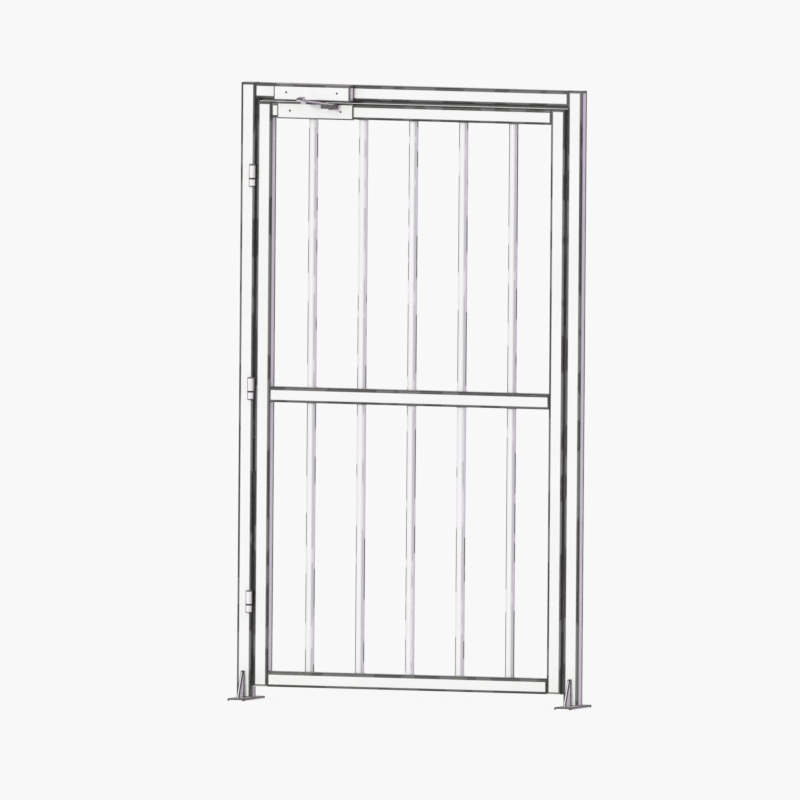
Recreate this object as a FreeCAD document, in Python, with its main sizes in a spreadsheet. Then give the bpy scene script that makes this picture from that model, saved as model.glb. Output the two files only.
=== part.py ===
"""Turnstile side gate: a welded frame of square tube, a swinging leaf with round bars, and a closer.

The gate is a pedestrian leaf beside a turnstile. Two posts stand on base plates with gussets and
carry a header between them. The leaf is a tube frame with a middle rail and two rows of round bars.
It hangs on three lift-off hinges in front of the left post and opens towards the viewer, and a
closer on the header works a folded two-part arm that is pinned to a shoe on the leaf.

X runs right along the gate, Y back and Z up, in millimetres. The origin is the centre of the
underside of the hinge post's base plate, and Y = 0 is the middle plane of the posts.
"""
import FreeCAD, Part
import math
import os
import Sketcher

doc = FreeCAD.newDocument("turnstile_side_gate")

# Driving dimensions in millimetres
SIZES = [
    ("tube_side", 50, "side of the square tube that all members share"),
    ("tube_wall", 3, "wall of the square tube"),
    ("tube_corner", 5, "outer corner radius of the square tube"),
    ("opening_width", 1080, "clear width between the posts"),
    ("gate_height", 2010, "floor to the top of the posts and header"),
    ("cap_thickness", 3, "plates that close the tube ends"),
    ("plate_width", 56, "base plate across the gate line"),
    ("plate_length", 200, "base plate from front to back"),
    ("plate_thickness", 8, "base plate"),
    ("anchor_diameter", 11, "anchor holes in the base plates"),
    ("anchor_spread_across", 34, "anchor holes, left to right"),
    ("anchor_spread_along", 140, "anchor holes, front to back"),
    ("gusset_thickness", 6, "gussets before and behind each post"),
    ("gusset_height", 88, "gusset above its base plate"),
    ("gusset_foot", 58, "gusset along its base plate"),
    ("gusset_top", 18, "flat top of a gusset"),
    ("hinge_side_gap", 7, "hinge post to leaf"),
    ("latch_side_gap", 8, "leaf to latch post"),
    ("leaf_top_gap", 12, "leaf to header"),
    ("leaf_floor_gap", 45, "floor to leaf"),
    ("bar_diameter", 30, "round infill bars"),
    ("bar_wall", 2, "wall of the infill bars"),
    ("bar_pitch", 173, "from one infill bar to the next"),
    ("bar_count", 5, "infill bars in each row"),
    ("hinge_axis_right", 19, "hinge axis, right of the post's centre"),
    ("hinge_axis_stand_off", 11, "hinge axis, in front of the post's face"),
    ("low_hinge_inset", 266, "lowest hinge's joint line above the leaf's bottom"),
    ("top_hinge_inset", 250, "top hinge's joint line below the leaf's top"),
    ("barrel_diameter", 20, "hinge barrels"),
    ("post_barrel_length", 26, "barrel welded to the post"),
    ("leaf_barrel_length", 45.5, "barrel welded to the leaf"),
    ("hinge_pin_diameter", 10, "hinge pins"),
    ("hinge_pin_reach", 38, "pin above its own barrel"),
    ("hinge_bore_clearance", 0.05, "radial clearance of the pins in the leaf barrels"),
    ("hinge_bore_spare", 2, "bore of a leaf barrel beyond the end of its pin"),
    ("seat_clearance", 0.3, "gap between faces that slide on each other"),
    ("hinge_flag_thickness", 4, "flag that joins a barrel to its member"),
    ("hinge_flag_depth", 28, "leaf flag along the side of the stile"),
    ("closer_start", 77, "closer body from the hinge post's right face"),
    ("closer_length", 263, "closer body along the header"),
    ("closer_height", 53, "closer body"),
    ("closer_depth", 40, "closer body, front to back"),
    ("closer_edge", 2, "rounded edges of the closer body"),
    ("screw_diameter", 7, "screw recesses in the closer body and the arm plate"),
    ("screw_depth", 3, "screw recesses in the closer body"),
    ("screw_inset", 44, "screws from the ends of the body and the plate"),
    ("arm_plate_thickness", 4, "plate on the leaf's top rail"),
    ("arm_plate_overhang", 2, "arm plate below the top rail"),
    ("spindle_along", 108, "spindle from the left end of the closer body"),
    ("spindle_stand_off", 25, "spindle from the header's front face"),
    ("spindle_diameter", 14, "spindle under the closer body"),
    ("spindle_gap", 2, "closer body to the arm below it"),
    ("arm_width", 16, "main arm"),
    ("arm_thickness", 4.5, "main arm, and the forearm's eyes and necks"),
    ("arm_eye_diameter", 20, "round ends of both arms"),
    ("arm_rise", 22, "main arm's step up from the spindle to the elbow"),
    ("arm_flat_length", 92, "main arm's low stretch from the spindle"),
    ("arm_slope_length", 48, "main arm's sloping stretch"),
    ("forearm_rod_diameter", 9, "round rod of the forearm"),
    ("forearm_neck_width", 7, "flat necks between the rod and the eyes"),
    ("forearm_shoe_neck", 16, "shoe pin to the start of the rod"),
    ("forearm_elbow_neck", 34, "end of the rod to the elbow"),
    ("elbow_right", 58.6, "elbow, right of the spindle"),
    ("elbow_forward", 225, "elbow, in front of the spindle"),
    ("shoe_pin_right", 286, "shoe pin, right of the hinge axis"),
    ("shoe_pin_forward", 51, "shoe pin, in front of the arm plate's face"),
    ("shoe_pin_diameter", 8, "shoe pin"),
    ("shoe_width", 14, "upright block of the shoe"),
    ("shoe_height", 16, "upright block of the shoe"),
    ("shoe_flange_length", 44, "shoe's flange along the arm plate"),
    ("shoe_flange_thickness", 4, "shoe's flange"),
    ("shoe_flange_height", 13, "shoe's flange"),
    ("forearm_drop", 1, "shoe's top below the leaf's top"),
    ("pin_clearance", 0.05, "radial clearance of the forearm on the shoe pin"),
    ("pin_head_height", 2.5, "heads of the shoe pin and the elbow rivet"),
    ("pin_head_diameter", 14, "heads of the shoe pin and the elbow rivet"),
]

sheet = doc.addObject("Spreadsheet::Sheet", "Sizes")
for row, (alias, value, note) in enumerate(SIZES, start=1):
    sheet.set("A%d" % row, note)
    sheet.set("B%d" % row, str(value))
    sheet.setAlias("B%d" % row, alias)
doc.recompute()


def cell(alias):
    """The expression that reads one driving dimension."""
    return "Sizes." + alias


def value_of(expression):
    """The number an expression comes to."""
    result = sheet.evalExpression(expression)
    return float(getattr(result, "Value", result))


# Places that follow from the driving dimensions
SIDE = cell("tube_side")
HALF = "(Sizes.tube_side / 2)"
CAP = cell("cap_thickness")
LATCH_POST_X = "(Sizes.opening_width + Sizes.tube_side)"
HEADER_Z = "(Sizes.gate_height - Sizes.tube_side / 2)"
POST_HEIGHT = "(Sizes.gate_height - Sizes.plate_thickness - Sizes.cap_thickness)"

LEAF_LEFT = "(Sizes.tube_side / 2 + Sizes.hinge_side_gap)"
LEAF_RIGHT = "(Sizes.opening_width + Sizes.tube_side / 2 - Sizes.latch_side_gap)"
LEAF_BOTTOM = cell("leaf_floor_gap")
LEAF_TOP = "(Sizes.gate_height - Sizes.tube_side - Sizes.leaf_top_gap)"
LEAF_MIDDLE_X = "((%s + %s) / 2)" % (LEAF_LEFT, LEAF_RIGHT)
LEAF_MIDDLE_Z = "((%s + %s) / 2)" % (LEAF_BOTTOM, LEAF_TOP)
STILE_LENGTH = "(%s - %s - 2 * %s)" % (LEAF_TOP, LEAF_BOTTOM, CAP)
RAIL_LENGTH = "(%s - %s - 2 * %s)" % (LEAF_RIGHT, LEAF_LEFT, SIDE)
RAIL_START = "(%s + %s)" % (LEAF_LEFT, SIDE)
BAR_LENGTH = "((%s - %s - 3 * %s) / 2)" % (LEAF_TOP, LEAF_BOTTOM, SIDE)

HINGE_X = cell("hinge_axis_right")
HINGE_Y = "(-Sizes.tube_side / 2 - Sizes.hinge_axis_stand_off)"
LOW_HINGE_Z = "(%s + Sizes.low_hinge_inset)" % LEAF_BOTTOM
TOP_HINGE_Z = "(%s - Sizes.top_hinge_inset)" % LEAF_TOP
MIDDLE_HINGE_Z = "((%s + %s) / 2)" % (LOW_HINGE_Z, TOP_HINGE_Z)

CLOSER_X = "(Sizes.tube_side / 2 + Sizes.closer_start)"
CLOSER_Z = "(Sizes.gate_height - Sizes.closer_height)"
FRONT = "(-Sizes.tube_side / 2)"
ARM_PLATE_FRONT = "(%s - Sizes.arm_plate_thickness)" % FRONT
SPINDLE_X = "(%s + Sizes.spindle_along)" % CLOSER_X
SPINDLE_Y = "(%s - Sizes.spindle_stand_off)" % FRONT
ARM_LOW_Z = "(%s - Sizes.spindle_gap - Sizes.arm_thickness)" % CLOSER_Z
ARM_HIGH_Z = "(%s + Sizes.arm_rise)" % ARM_LOW_Z
MAIN_ARM_LENGTH = "sqrt(Sizes.elbow_right ^ 2 + Sizes.elbow_forward ^ 2)"
ELBOW_X = "(%s + Sizes.elbow_right)" % SPINDLE_X
ELBOW_Y = "(%s - Sizes.elbow_forward)" % SPINDLE_Y
SHOE_X = "(%s + Sizes.shoe_pin_right)" % HINGE_X
SHOE_Y = "(%s - Sizes.shoe_pin_forward)" % ARM_PLATE_FRONT
SHOE_TOP = "(%s - Sizes.forearm_drop)" % LEAF_TOP
FOREARM_LOW_Z = "(%s + Sizes.seat_clearance)" % SHOE_TOP
FOREARM_HIGH_Z = "(%s - Sizes.seat_clearance - Sizes.arm_thickness)" % ARM_HIGH_Z
FOREARM_LENGTH = "sqrt((%s - %s) ^ 2 + (%s - %s) ^ 2)" % (SHOE_X, ELBOW_X, SHOE_Y, ELBOW_Y)


def bind(obj, prop, expression):
    """Ties one property of an object to an expression."""
    obj.setExpression(prop, expression)


def new_body(label):
    """An empty sub-part whose label names its file."""
    body = doc.addObject("PartDesign::Body", label)
    body.Label = label
    return body


def put(obj, x, y, z, axis=(0, 0, 1), angle=0):
    """Turns a sub-part about an axis and binds its place."""
    turn = FreeCAD.Rotation(FreeCAD.Vector(*axis), angle)
    obj.Placement = FreeCAD.Placement(FreeCAD.Vector(0, 0, 0), turn)
    for letter, expression in zip("xyz", (x, y, z)):
        bind(obj, ".Placement.Base.%s" % letter, expression)


def new_sketch(body, name, role="XY_Plane", offset=None):
    """A sketch on one of the body's own origin planes, lifted by an optional expression."""
    plane = [item for item in body.Origin.OriginFeatures if item.Role == role][0]
    sketch = body.newObject("Sketcher::SketchObject", name)
    sketch.AttachmentSupport = [(plane, "")]
    sketch.MapMode = "FlatFace"
    if offset:
        bind(sketch, ".AttachmentOffset.Base.z", offset)
    return sketch


def add_outline(sketch, corners):
    """A closed outline through corners, each given by two expressions and held to them."""
    points = [FreeCAD.Vector(value_of(across), value_of(up), 0) for across, up in corners]
    first = sketch.GeometryCount
    count = len(points)
    for number in range(count):
        line = Part.LineSegment(points[number], points[(number + 1) % count])
        sketch.addGeometry(line, False)
    for number in range(count):
        following = first + (number + 1) % count
        sketch.addConstraint(Sketcher.Constraint("Coincident", first + number, 2, following, 1))
    for number, (across, up) in enumerate(corners):
        for kind, expression, at in (("DistanceX", across, points[number].x), ("DistanceY", up, points[number].y)):
            index = sketch.addConstraint(Sketcher.Constraint(kind, -1, 1, first + number, 1, at))
            bind(sketch, "Constraints[%d]" % index, expression)


def add_circle(sketch, across, up, radius):
    """A circle whose centre and radius are held to expressions."""
    centre = FreeCAD.Vector(value_of(across), value_of(up), 0)
    circle = sketch.addGeometry(Part.Circle(centre, FreeCAD.Vector(0, 0, 1), value_of(radius)), False)
    index = sketch.addConstraint(Sketcher.Constraint("Radius", circle, value_of(radius)))
    bind(sketch, "Constraints[%d]" % index, radius)
    for kind, expression, at in (("DistanceX", across, centre.x), ("DistanceY", up, centre.y)):
        index = sketch.addConstraint(Sketcher.Constraint(kind, -1, 1, circle, 3, at))
        bind(sketch, "Constraints[%d]" % index, expression)


def centred(width, depth):
    """Corners of a rectangle about the sketch's origin."""
    return [
        ("-%s / 2" % width, "-%s / 2" % depth),
        ("%s / 2" % width, "-%s / 2" % depth),
        ("%s / 2" % width, "%s / 2" % depth),
        ("-%s / 2" % width, "%s / 2" % depth),
    ]


def add_pad(body, sketch, name, length, midplane=False):
    """A pad of a sketch by a bound length."""
    pad = body.newObject("PartDesign::Pad", name)
    pad.Profile = sketch
    bind(pad, "Length", length)
    pad.Midplane = midplane
    sketch.Visibility = False
    doc.recompute()
    return pad


def add_pocket(body, sketch, name, length, reversed_way):
    """A pocket that has to take something away."""
    before = body.Shape.Volume
    pocket = body.newObject("PartDesign::Pocket", name)
    pocket.Profile = sketch
    bind(pocket, "Length", length)
    pocket.Reversed = reversed_way
    doc.recompute()
    if pocket.Shape.Volume >= before:
        raise ValueError("%s cuts nothing" % name)
    return pocket


def round_edges(body, base, name, radius, wanted):
    """Rounds the edges of the last feature that the test picks out."""
    chosen = ["Edge%d" % (number + 1) for number, edge in enumerate(base.Shape.Edges) if wanted(edge)]
    fillet = body.newObject("PartDesign::Fillet", name)
    fillet.Base = (base, chosen)
    bind(fillet, "Radius", radius)
    doc.recompute()
    return fillet


def upright(edge):
    """Whether an edge is straight and parallel to the body's own Z."""
    if not isinstance(edge.Curve, Part.Line):
        return False
    return abs(edge.Curve.Direction.z) > 0.999


def square_tube(label, length, place, axis=(0, 0, 1), angle=0):
    """A length of square tube with rounded outer corners, drawn end on and pulled along its own Z."""
    body = new_body(label)
    sketch = new_sketch(body, label + "_section")
    bore = "(Sizes.tube_side - 2 * Sizes.tube_wall)"
    add_outline(sketch, centred(SIDE, SIDE))
    add_outline(sketch, centred(bore, bore))
    pad = add_pad(body, sketch, label + "_run", length)
    limit = value_of(HALF) - value_of(cell("tube_wall")) / 2

    def outside(edge):
        return upright(edge) and abs(edge.Vertexes[0].Point.x) > limit

    round_edges(body, pad, label + "_corners", cell("tube_corner"), outside)
    put(body, *place, axis=axis, angle=angle)
    return body


def end_cap(label, place):
    """A plate of the tube's outline that closes an upright tube's end."""
    body = new_body(label)
    sketch = new_sketch(body, label + "_outline")
    add_outline(sketch, centred(SIDE, SIDE))
    pad = add_pad(body, sketch, label + "_plate", CAP)
    round_edges(body, pad, label + "_corners", cell("tube_corner"), upright)
    put(body, *place)
    return body


def base_plate(label, centre_x):
    """A base plate with four anchor holes."""
    body = new_body(label)
    sketch = new_sketch(body, label + "_outline")
    add_outline(sketch, centred(cell("plate_width"), cell("plate_length")))
    add_pad(body, sketch, label + "_plate", cell("plate_thickness"))
    holes = new_sketch(body, label + "_anchor_holes")
    for across in ("-Sizes.anchor_spread_across / 2", "Sizes.anchor_spread_across / 2"):
        for along in ("-Sizes.anchor_spread_along / 2", "Sizes.anchor_spread_along / 2"):
            add_circle(holes, across, along, "Sizes.anchor_diameter / 2")
    add_pocket(body, holes, label + "_drilling", cell("plate_thickness"), True)
    put(body, centre_x, "0", "0")
    return body


def gusset(label, centre_x, turned):
    """A plate on edge between a post's face and its base plate, with a short flat top."""
    body = new_body(label)
    sketch = new_sketch(body, label + "_outline", "XZ_Plane")
    add_outline(sketch, [
        ("0", "0"),
        (cell("gusset_foot"), "0"),
        (cell("gusset_top"), cell("gusset_height")),
        ("0", cell("gusset_height")),
    ])
    add_pad(body, sketch, label + "_plate", cell("gusset_thickness"), midplane=True)
    side = "-1" if turned < 0 else "1"
    put(body, centre_x, "%s * %s" % (side, HALF), cell("plate_thickness"), angle=90 * turned)
    return body


def round_bar(label, centre_x, bottom_z):
    """An infill bar between two rails."""
    body = new_body(label)
    sketch = new_sketch(body, label + "_section")
    add_circle(sketch, "0", "0", "Sizes.bar_diameter / 2")
    add_circle(sketch, "0", "0", "Sizes.bar_diameter / 2 - Sizes.bar_wall")
    add_pad(body, sketch, label + "_run", BAR_LENGTH)
    put(body, centre_x, "0", bottom_z)
    return body


def post_barrel(label, joint_z):
    """The lower half of a lift-off hinge: barrel, weld flag to the post's face, and upright pin."""
    body = new_body(label)
    radius = "Sizes.barrel_diameter / 2"
    barrel = new_sketch(body, label + "_barrel_circle")
    add_circle(barrel, "0", "0", radius)
    add_pad(body, barrel, label + "_barrel", cell("post_barrel_length"))
    flag = new_sketch(body, label + "_flag_outline")
    left = "-%s" % radius
    add_outline(flag, [
        (left, "0"),
        ("0", "0"),
        ("0", cell("hinge_axis_stand_off")),
        (left, cell("hinge_axis_stand_off")),
    ])
    add_pad(body, flag, label + "_flag", cell("post_barrel_length"))
    pin = new_sketch(body, label + "_pin_circle", offset=cell("post_barrel_length"))
    add_circle(pin, "0", "0", "Sizes.hinge_pin_diameter / 2")
    add_pad(body, pin, label + "_pin", cell("hinge_pin_reach"))
    put(body, HINGE_X, HINGE_Y, "%s - Sizes.post_barrel_length" % joint_z)
    return body


def leaf_barrel(label, joint_z):
    """The upper half of a lift-off hinge: bored barrel with a flag along the stile's side."""
    body = new_body(label)
    height = "Sizes.leaf_barrel_length - Sizes.seat_clearance"
    barrel = new_sketch(body, label + "_barrel_circle")
    add_circle(barrel, "0", "0", "Sizes.barrel_diameter / 2")
    add_pad(body, barrel, label + "_barrel", height)
    stile_side = "(%s - %s)" % (LEAF_LEFT, HINGE_X)
    flag = new_sketch(body, label + "_flag_outline")
    add_outline(flag, [
        ("%s - Sizes.hinge_flag_thickness" % stile_side, "0"),
        (stile_side, "0"),
        (stile_side, cell("hinge_flag_depth")),
        ("%s - Sizes.hinge_flag_thickness" % stile_side, cell("hinge_flag_depth")),
    ])
    add_pad(body, flag, label + "_flag", height)
    bore = new_sketch(body, label + "_bore_circle")
    add_circle(bore, "0", "0", "Sizes.hinge_pin_diameter / 2 + Sizes.hinge_bore_clearance")
    add_pocket(body, bore, label + "_bore", "Sizes.hinge_pin_reach + Sizes.hinge_bore_spare", True)
    put(body, HINGE_X, HINGE_Y, "%s + Sizes.seat_clearance" % joint_z)
    return body


def strap(label, length, width, low_end, high_end, rise, pin_hole):
    """An arm: a flat strap with one step in its height and a round eye at each end."""
    body = new_body(label)
    thick = cell("arm_thickness")
    side = new_sketch(body, label + "_side_view", "XZ_Plane")
    add_outline(side, [
        ("0", "0"),
        (low_end, "0"),
        (high_end, rise),
        (length, rise),
        (length, "%s + %s" % (rise, thick)),
        (high_end, "%s + %s" % (rise, thick)),
        (low_end, thick),
        ("0", thick),
    ])
    add_pad(body, side, label + "_strap", width, midplane=True)
    for end, across, lift in (("near", "0", "0"), ("far", length, rise)):
        eye = new_sketch(body, "%s_%s_eye_circle" % (label, end), offset=lift)
        add_circle(eye, across, "0", "Sizes.arm_eye_diameter / 2")
        add_pad(body, eye, "%s_%s_eye" % (label, end), thick)
    if pin_hole:
        hole = new_sketch(body, label + "_pin_hole_circle")
        add_circle(hole, "0", "0", pin_hole)
        add_pocket(body, hole, label + "_pin_hole", thick, True)
    return body


def add_rod(body, label, ends, diameter):
    """A round rod between two circles that stand across the body's X, each given by its distance and height."""
    circles = []
    for number, (distance, height) in enumerate(ends):
        circle = new_sketch(body, "%s_rod_circle_%d" % (label, number + 1), "YZ_Plane", offset=distance)
        add_circle(circle, "0", height, "%s / 2" % diameter)
        circles.append(circle)
    rod = body.newObject("PartDesign::AdditiveLoft", label + "_rod")
    rod.Profile = circles[0]
    rod.Sections = circles[1:]
    rod.Ruled = True
    doc.recompute()
    return rod


def build_posts():
    """Both posts with their caps, base plates and gussets."""
    for side, centre_x in (("hinge", "0"), ("latch", LATCH_POST_X)):
        square_tube(side + "_post", POST_HEIGHT, (centre_x, "0", cell("plate_thickness")))
        end_cap(side + "_post_cap", (centre_x, "0", "Sizes.gate_height - Sizes.cap_thickness"))
        base_plate(side + "_base_plate", centre_x)
        gusset(side + "_gusset_front", centre_x, -1)
        gusset(side + "_gusset_back", centre_x, 1)


def build_header():
    """The tube between the posts' tops."""
    square_tube("header", cell("opening_width"), (HALF, "0", HEADER_Z), axis=(0, 1, 0), angle=90)


def build_leaf_frame():
    """Stiles over the full height, three rails between them, and caps on the stiles' ends."""
    stiles = (("hinge", "%s + %s" % (LEAF_LEFT, HALF)), ("latch", "%s - %s" % (LEAF_RIGHT, HALF)))
    for side, centre_x in stiles:
        square_tube(side + "_stile", STILE_LENGTH, (centre_x, "0", "%s + %s" % (LEAF_BOTTOM, CAP)))
        end_cap(side + "_stile_cap_low", (centre_x, "0", LEAF_BOTTOM))
        end_cap(side + "_stile_cap_top", (centre_x, "0", "%s - %s" % (LEAF_TOP, CAP)))
    rails = (
        ("bottom_rail", "%s + %s" % (LEAF_BOTTOM, HALF)),
        ("middle_rail", LEAF_MIDDLE_Z),
        ("top_rail", "%s - %s" % (LEAF_TOP, HALF)),
    )
    for label, centre_z in rails:
        square_tube(label, RAIL_LENGTH, (RAIL_START, "0", centre_z), axis=(0, 1, 0), angle=90)


def build_bars():
    """Two rows of round bars, centred in the leaf."""
    rows = (
        ("lower", "%s + %s" % (LEAF_BOTTOM, SIDE)),
        ("upper", "%s + %s" % (LEAF_MIDDLE_Z, HALF)),
    )
    count = int(value_of(cell("bar_count")))
    for row, bottom_z in rows:
        for number in range(count):
            steps = number - (count - 1) / 2
            centre_x = "%s + %g * Sizes.bar_pitch" % (LEAF_MIDDLE_X, steps)
            round_bar("%s_bar_%d" % (row, number + 1), centre_x, bottom_z)


def build_hinges():
    """Three lift-off hinges in front of the hinge post, the middle one halfway between the others."""
    for name, joint_z in (("low", LOW_HINGE_Z), ("middle", MIDDLE_HINGE_Z), ("top", TOP_HINGE_Z)):
        post_barrel("post_hinge_" + name, joint_z)
        leaf_barrel("leaf_hinge_" + name, joint_z)


def build_closer():
    """The closer's body on the header and its spindle."""
    body = new_body("closer_body")
    front = new_sketch(body, "closer_outline", "XZ_Plane")
    add_outline(front, [
        ("0", "0"),
        (cell("closer_length"), "0"),
        (cell("closer_length"), cell("closer_height")),
        ("0", cell("closer_height")),
    ])
    pad = add_pad(body, front, "closer_block", cell("closer_depth"))
    face_y = min(vertex.Point.y for vertex in pad.Shape.Vertexes)

    def on_front(edge):
        return all(abs(vertex.Point.y - face_y) < 0.01 for vertex in edge.Vertexes)

    round_edges(body, pad, "closer_front_edges", cell("closer_edge"), on_front)
    screws = new_sketch(body, "closer_screw_circles", "XZ_Plane", offset=cell("closer_depth"))
    for across in (cell("screw_inset"), "Sizes.closer_length - Sizes.screw_inset"):
        add_circle(screws, across, "Sizes.closer_height / 2", "Sizes.screw_diameter / 2")
    add_pocket(body, screws, "closer_screw_recesses", cell("screw_depth"), False)
    put(body, CLOSER_X, FRONT, CLOSER_Z)

    spindle = new_body("closer_spindle")
    circle = new_sketch(spindle, "spindle_circle")
    add_circle(circle, "0", "0", "Sizes.spindle_diameter / 2")
    add_pad(spindle, circle, "spindle_boss", "Sizes.spindle_gap - Sizes.seat_clearance")
    put(spindle, SPINDLE_X, SPINDLE_Y, "%s - Sizes.spindle_gap + Sizes.seat_clearance" % CLOSER_Z)


def build_arm_plate():
    """The plate screwed to the leaf's top rail, as long as the closer body above it."""
    body = new_body("arm_plate")
    height = "(Sizes.tube_side + Sizes.arm_plate_overhang)"
    front = new_sketch(body, "arm_plate_outline", "XZ_Plane")
    add_outline(front, [
        ("0", "0"),
        (cell("closer_length"), "0"),
        (cell("closer_length"), height),
        ("0", height),
    ])
    for across in (cell("screw_inset"), "Sizes.closer_length - Sizes.screw_inset"):
        add_circle(front, across, "%s / 2" % height, "Sizes.screw_diameter / 2")
    add_pad(body, front, "arm_plate_sheet", cell("arm_plate_thickness"))
    put(body, CLOSER_X, FRONT, "%s - %s" % (LEAF_TOP, height))


def build_shoe():
    """The shoe on the arm plate, with the pin that carries the forearm."""
    body = new_body("arm_shoe")
    block = new_sketch(body, "shoe_block_outline")
    half = "Sizes.shoe_width / 2"
    add_outline(block, [
        ("-%s" % half, "0"),
        (half, "0"),
        (half, cell("shoe_pin_forward")),
        ("-%s" % half, cell("shoe_pin_forward")),
    ])
    add_pad(body, block, "shoe_block", cell("shoe_height"))
    nose = new_sketch(body, "shoe_nose_circle")
    add_circle(nose, "0", "0", half)
    add_pad(body, nose, "shoe_nose", cell("shoe_height"))
    flange = new_sketch(body, "shoe_flange_outline")
    inner = "(Sizes.shoe_pin_forward - Sizes.shoe_flange_thickness)"
    add_outline(flange, [
        ("-%s - Sizes.shoe_flange_length" % half, inner),
        ("0", inner),
        ("0", cell("shoe_pin_forward")),
        ("-%s - Sizes.shoe_flange_length" % half, cell("shoe_pin_forward")),
    ])
    add_pad(body, flange, "shoe_flange", cell("shoe_flange_height"))
    put(body, SHOE_X, SHOE_Y, "%s - Sizes.shoe_height" % SHOE_TOP)

    pin = new_body("shoe_pin")
    shank = new_sketch(pin, "shoe_pin_circle")
    add_circle(shank, "0", "0", "Sizes.shoe_pin_diameter / 2")
    shank_height = "(2 * Sizes.seat_clearance + Sizes.arm_thickness)"
    add_pad(pin, shank, "shoe_pin_shank", shank_height)
    head = new_sketch(pin, "shoe_pin_head_circle", offset=shank_height)
    add_circle(head, "0", "0", "Sizes.pin_head_diameter / 2")
    add_pad(pin, head, "shoe_pin_head", cell("pin_head_height"))
    put(pin, SHOE_X, SHOE_Y, SHOE_TOP)


def build_arms():
    """The two straps of the closer's arm at rest, with the leaf shut."""
    right = value_of(cell("elbow_right"))
    forward = value_of(cell("elbow_forward"))
    arm = strap(
        "main_arm", MAIN_ARM_LENGTH, cell("arm_width"), cell("arm_flat_length"),
        "Sizes.arm_flat_length + Sizes.arm_slope_length", cell("arm_rise"), None)
    put(arm, SPINDLE_X, SPINDLE_Y, ARM_LOW_Z, angle=math.degrees(math.atan2(-forward, right)))

    rivet = new_body("elbow_rivet")
    head = new_sketch(rivet, "elbow_rivet_circle")
    add_circle(head, "0", "0", "Sizes.pin_head_diameter / 2")
    add_pad(rivet, head, "elbow_rivet_head", cell("pin_head_height"))
    put(rivet, ELBOW_X, ELBOW_Y, "%s + Sizes.arm_thickness" % ARM_HIGH_Z)

    across = value_of(ELBOW_X) - value_of(SHOE_X)
    along = value_of(ELBOW_Y) - value_of(SHOE_Y)
    eye = "(Sizes.arm_eye_diameter / 2)"
    rise = "(%s - %s)" % (FOREARM_HIGH_Z, FOREARM_LOW_Z)
    forearm = strap(
        "forearm", FOREARM_LENGTH, cell("forearm_neck_width"), eye, "%s - %s" % (FOREARM_LENGTH, eye), rise,
        "Sizes.shoe_pin_diameter / 2 + Sizes.pin_clearance")
    steepness = "%s / (%s - Sizes.arm_eye_diameter)" % (rise, FOREARM_LENGTH)
    ends = []
    for distance in (cell("forearm_shoe_neck"), "(%s - Sizes.forearm_elbow_neck)" % FOREARM_LENGTH):
        ends.append((distance, "Sizes.arm_thickness / 2 + (%s - %s) * %s" % (distance, eye, steepness)))
    add_rod(forearm, "forearm", ends, cell("forearm_rod_diameter"))
    put(forearm, SHOE_X, SHOE_Y, FOREARM_LOW_Z, angle=math.degrees(math.atan2(along, across)))


def check_and_write():
    """Stops on any failed object or bad shape, then writes one file for each sub-part."""
    doc.recompute()
    for item in doc.Objects:
        if "Invalid" in item.State or "Error" in item.State:
            raise ValueError("%s failed to build" % item.Label)
    parts = [item for item in doc.Objects if item.isDerivedFrom("PartDesign::Body")]
    for item in parts:
        if item.Shape.isNull() or not item.Shape.isValid() or not item.Shape.Solids:
            raise ValueError("%s has no sound shape" % item.Label)
    os.makedirs("parts", exist_ok=True)
    for item in parts:
        item.Shape.exportStep("parts/%s.step" % item.Label)
    print("sub-parts written:", len(parts))


build_posts()
build_header()
build_leaf_frame()
build_bars()
build_hinges()
build_closer()
build_arm_plate()
build_shoe()
build_arms()
check_and_write()
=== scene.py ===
# %% [markdown]
# A white gate in a pale studio. The steelwork comes from the construction model and stays where it is. This file
# gives it its paint, adds the small things that a welder and a fitter leave on it, lights it and sets the camera.
# Every cell shows one step: first what the thing is on the real gate, then how it is made here.

# %% Load the gate
import math

import bpy
import numpy as np
from mathutils import Matrix, Vector


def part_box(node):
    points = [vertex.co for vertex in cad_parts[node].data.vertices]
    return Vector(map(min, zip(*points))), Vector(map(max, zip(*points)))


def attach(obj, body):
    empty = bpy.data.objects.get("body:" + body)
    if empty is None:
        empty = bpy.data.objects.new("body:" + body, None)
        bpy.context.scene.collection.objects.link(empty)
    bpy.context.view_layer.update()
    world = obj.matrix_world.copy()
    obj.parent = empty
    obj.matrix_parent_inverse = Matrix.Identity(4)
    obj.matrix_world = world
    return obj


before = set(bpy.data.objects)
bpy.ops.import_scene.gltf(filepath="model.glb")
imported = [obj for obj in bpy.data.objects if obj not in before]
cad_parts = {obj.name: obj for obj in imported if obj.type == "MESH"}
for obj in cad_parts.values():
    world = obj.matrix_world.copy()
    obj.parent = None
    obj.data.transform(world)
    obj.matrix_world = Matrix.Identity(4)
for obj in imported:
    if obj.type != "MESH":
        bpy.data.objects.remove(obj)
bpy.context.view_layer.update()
scene = bpy.context.scene
MM = 0.001

# %% [markdown]
# ## The camera
# The gate was drawn in parallel projection: posts that are far apart keep the same width and their sides stay
# parallel. An orthographic camera does that, where a perspective one would need a very long lens. It stands to the
# right of the gate, a little above the middle, and leans by under half a degree. Its three directions are worked out
# from those angles and put into the camera's matrix as columns.

# %% Camera
CAMERA_AZIMUTH = math.radians(20.0)
CAMERA_HEIGHT = math.radians(3.1)
CAMERA_LEAN = 0.0078
CAMERA_AIM = Vector((0.5332, -0.025, 0.9899))
CAMERA_DISTANCE = 10.0
PICTURE_WIDTH = 2.6
FARTHEST_SEEN = 300.0

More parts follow.
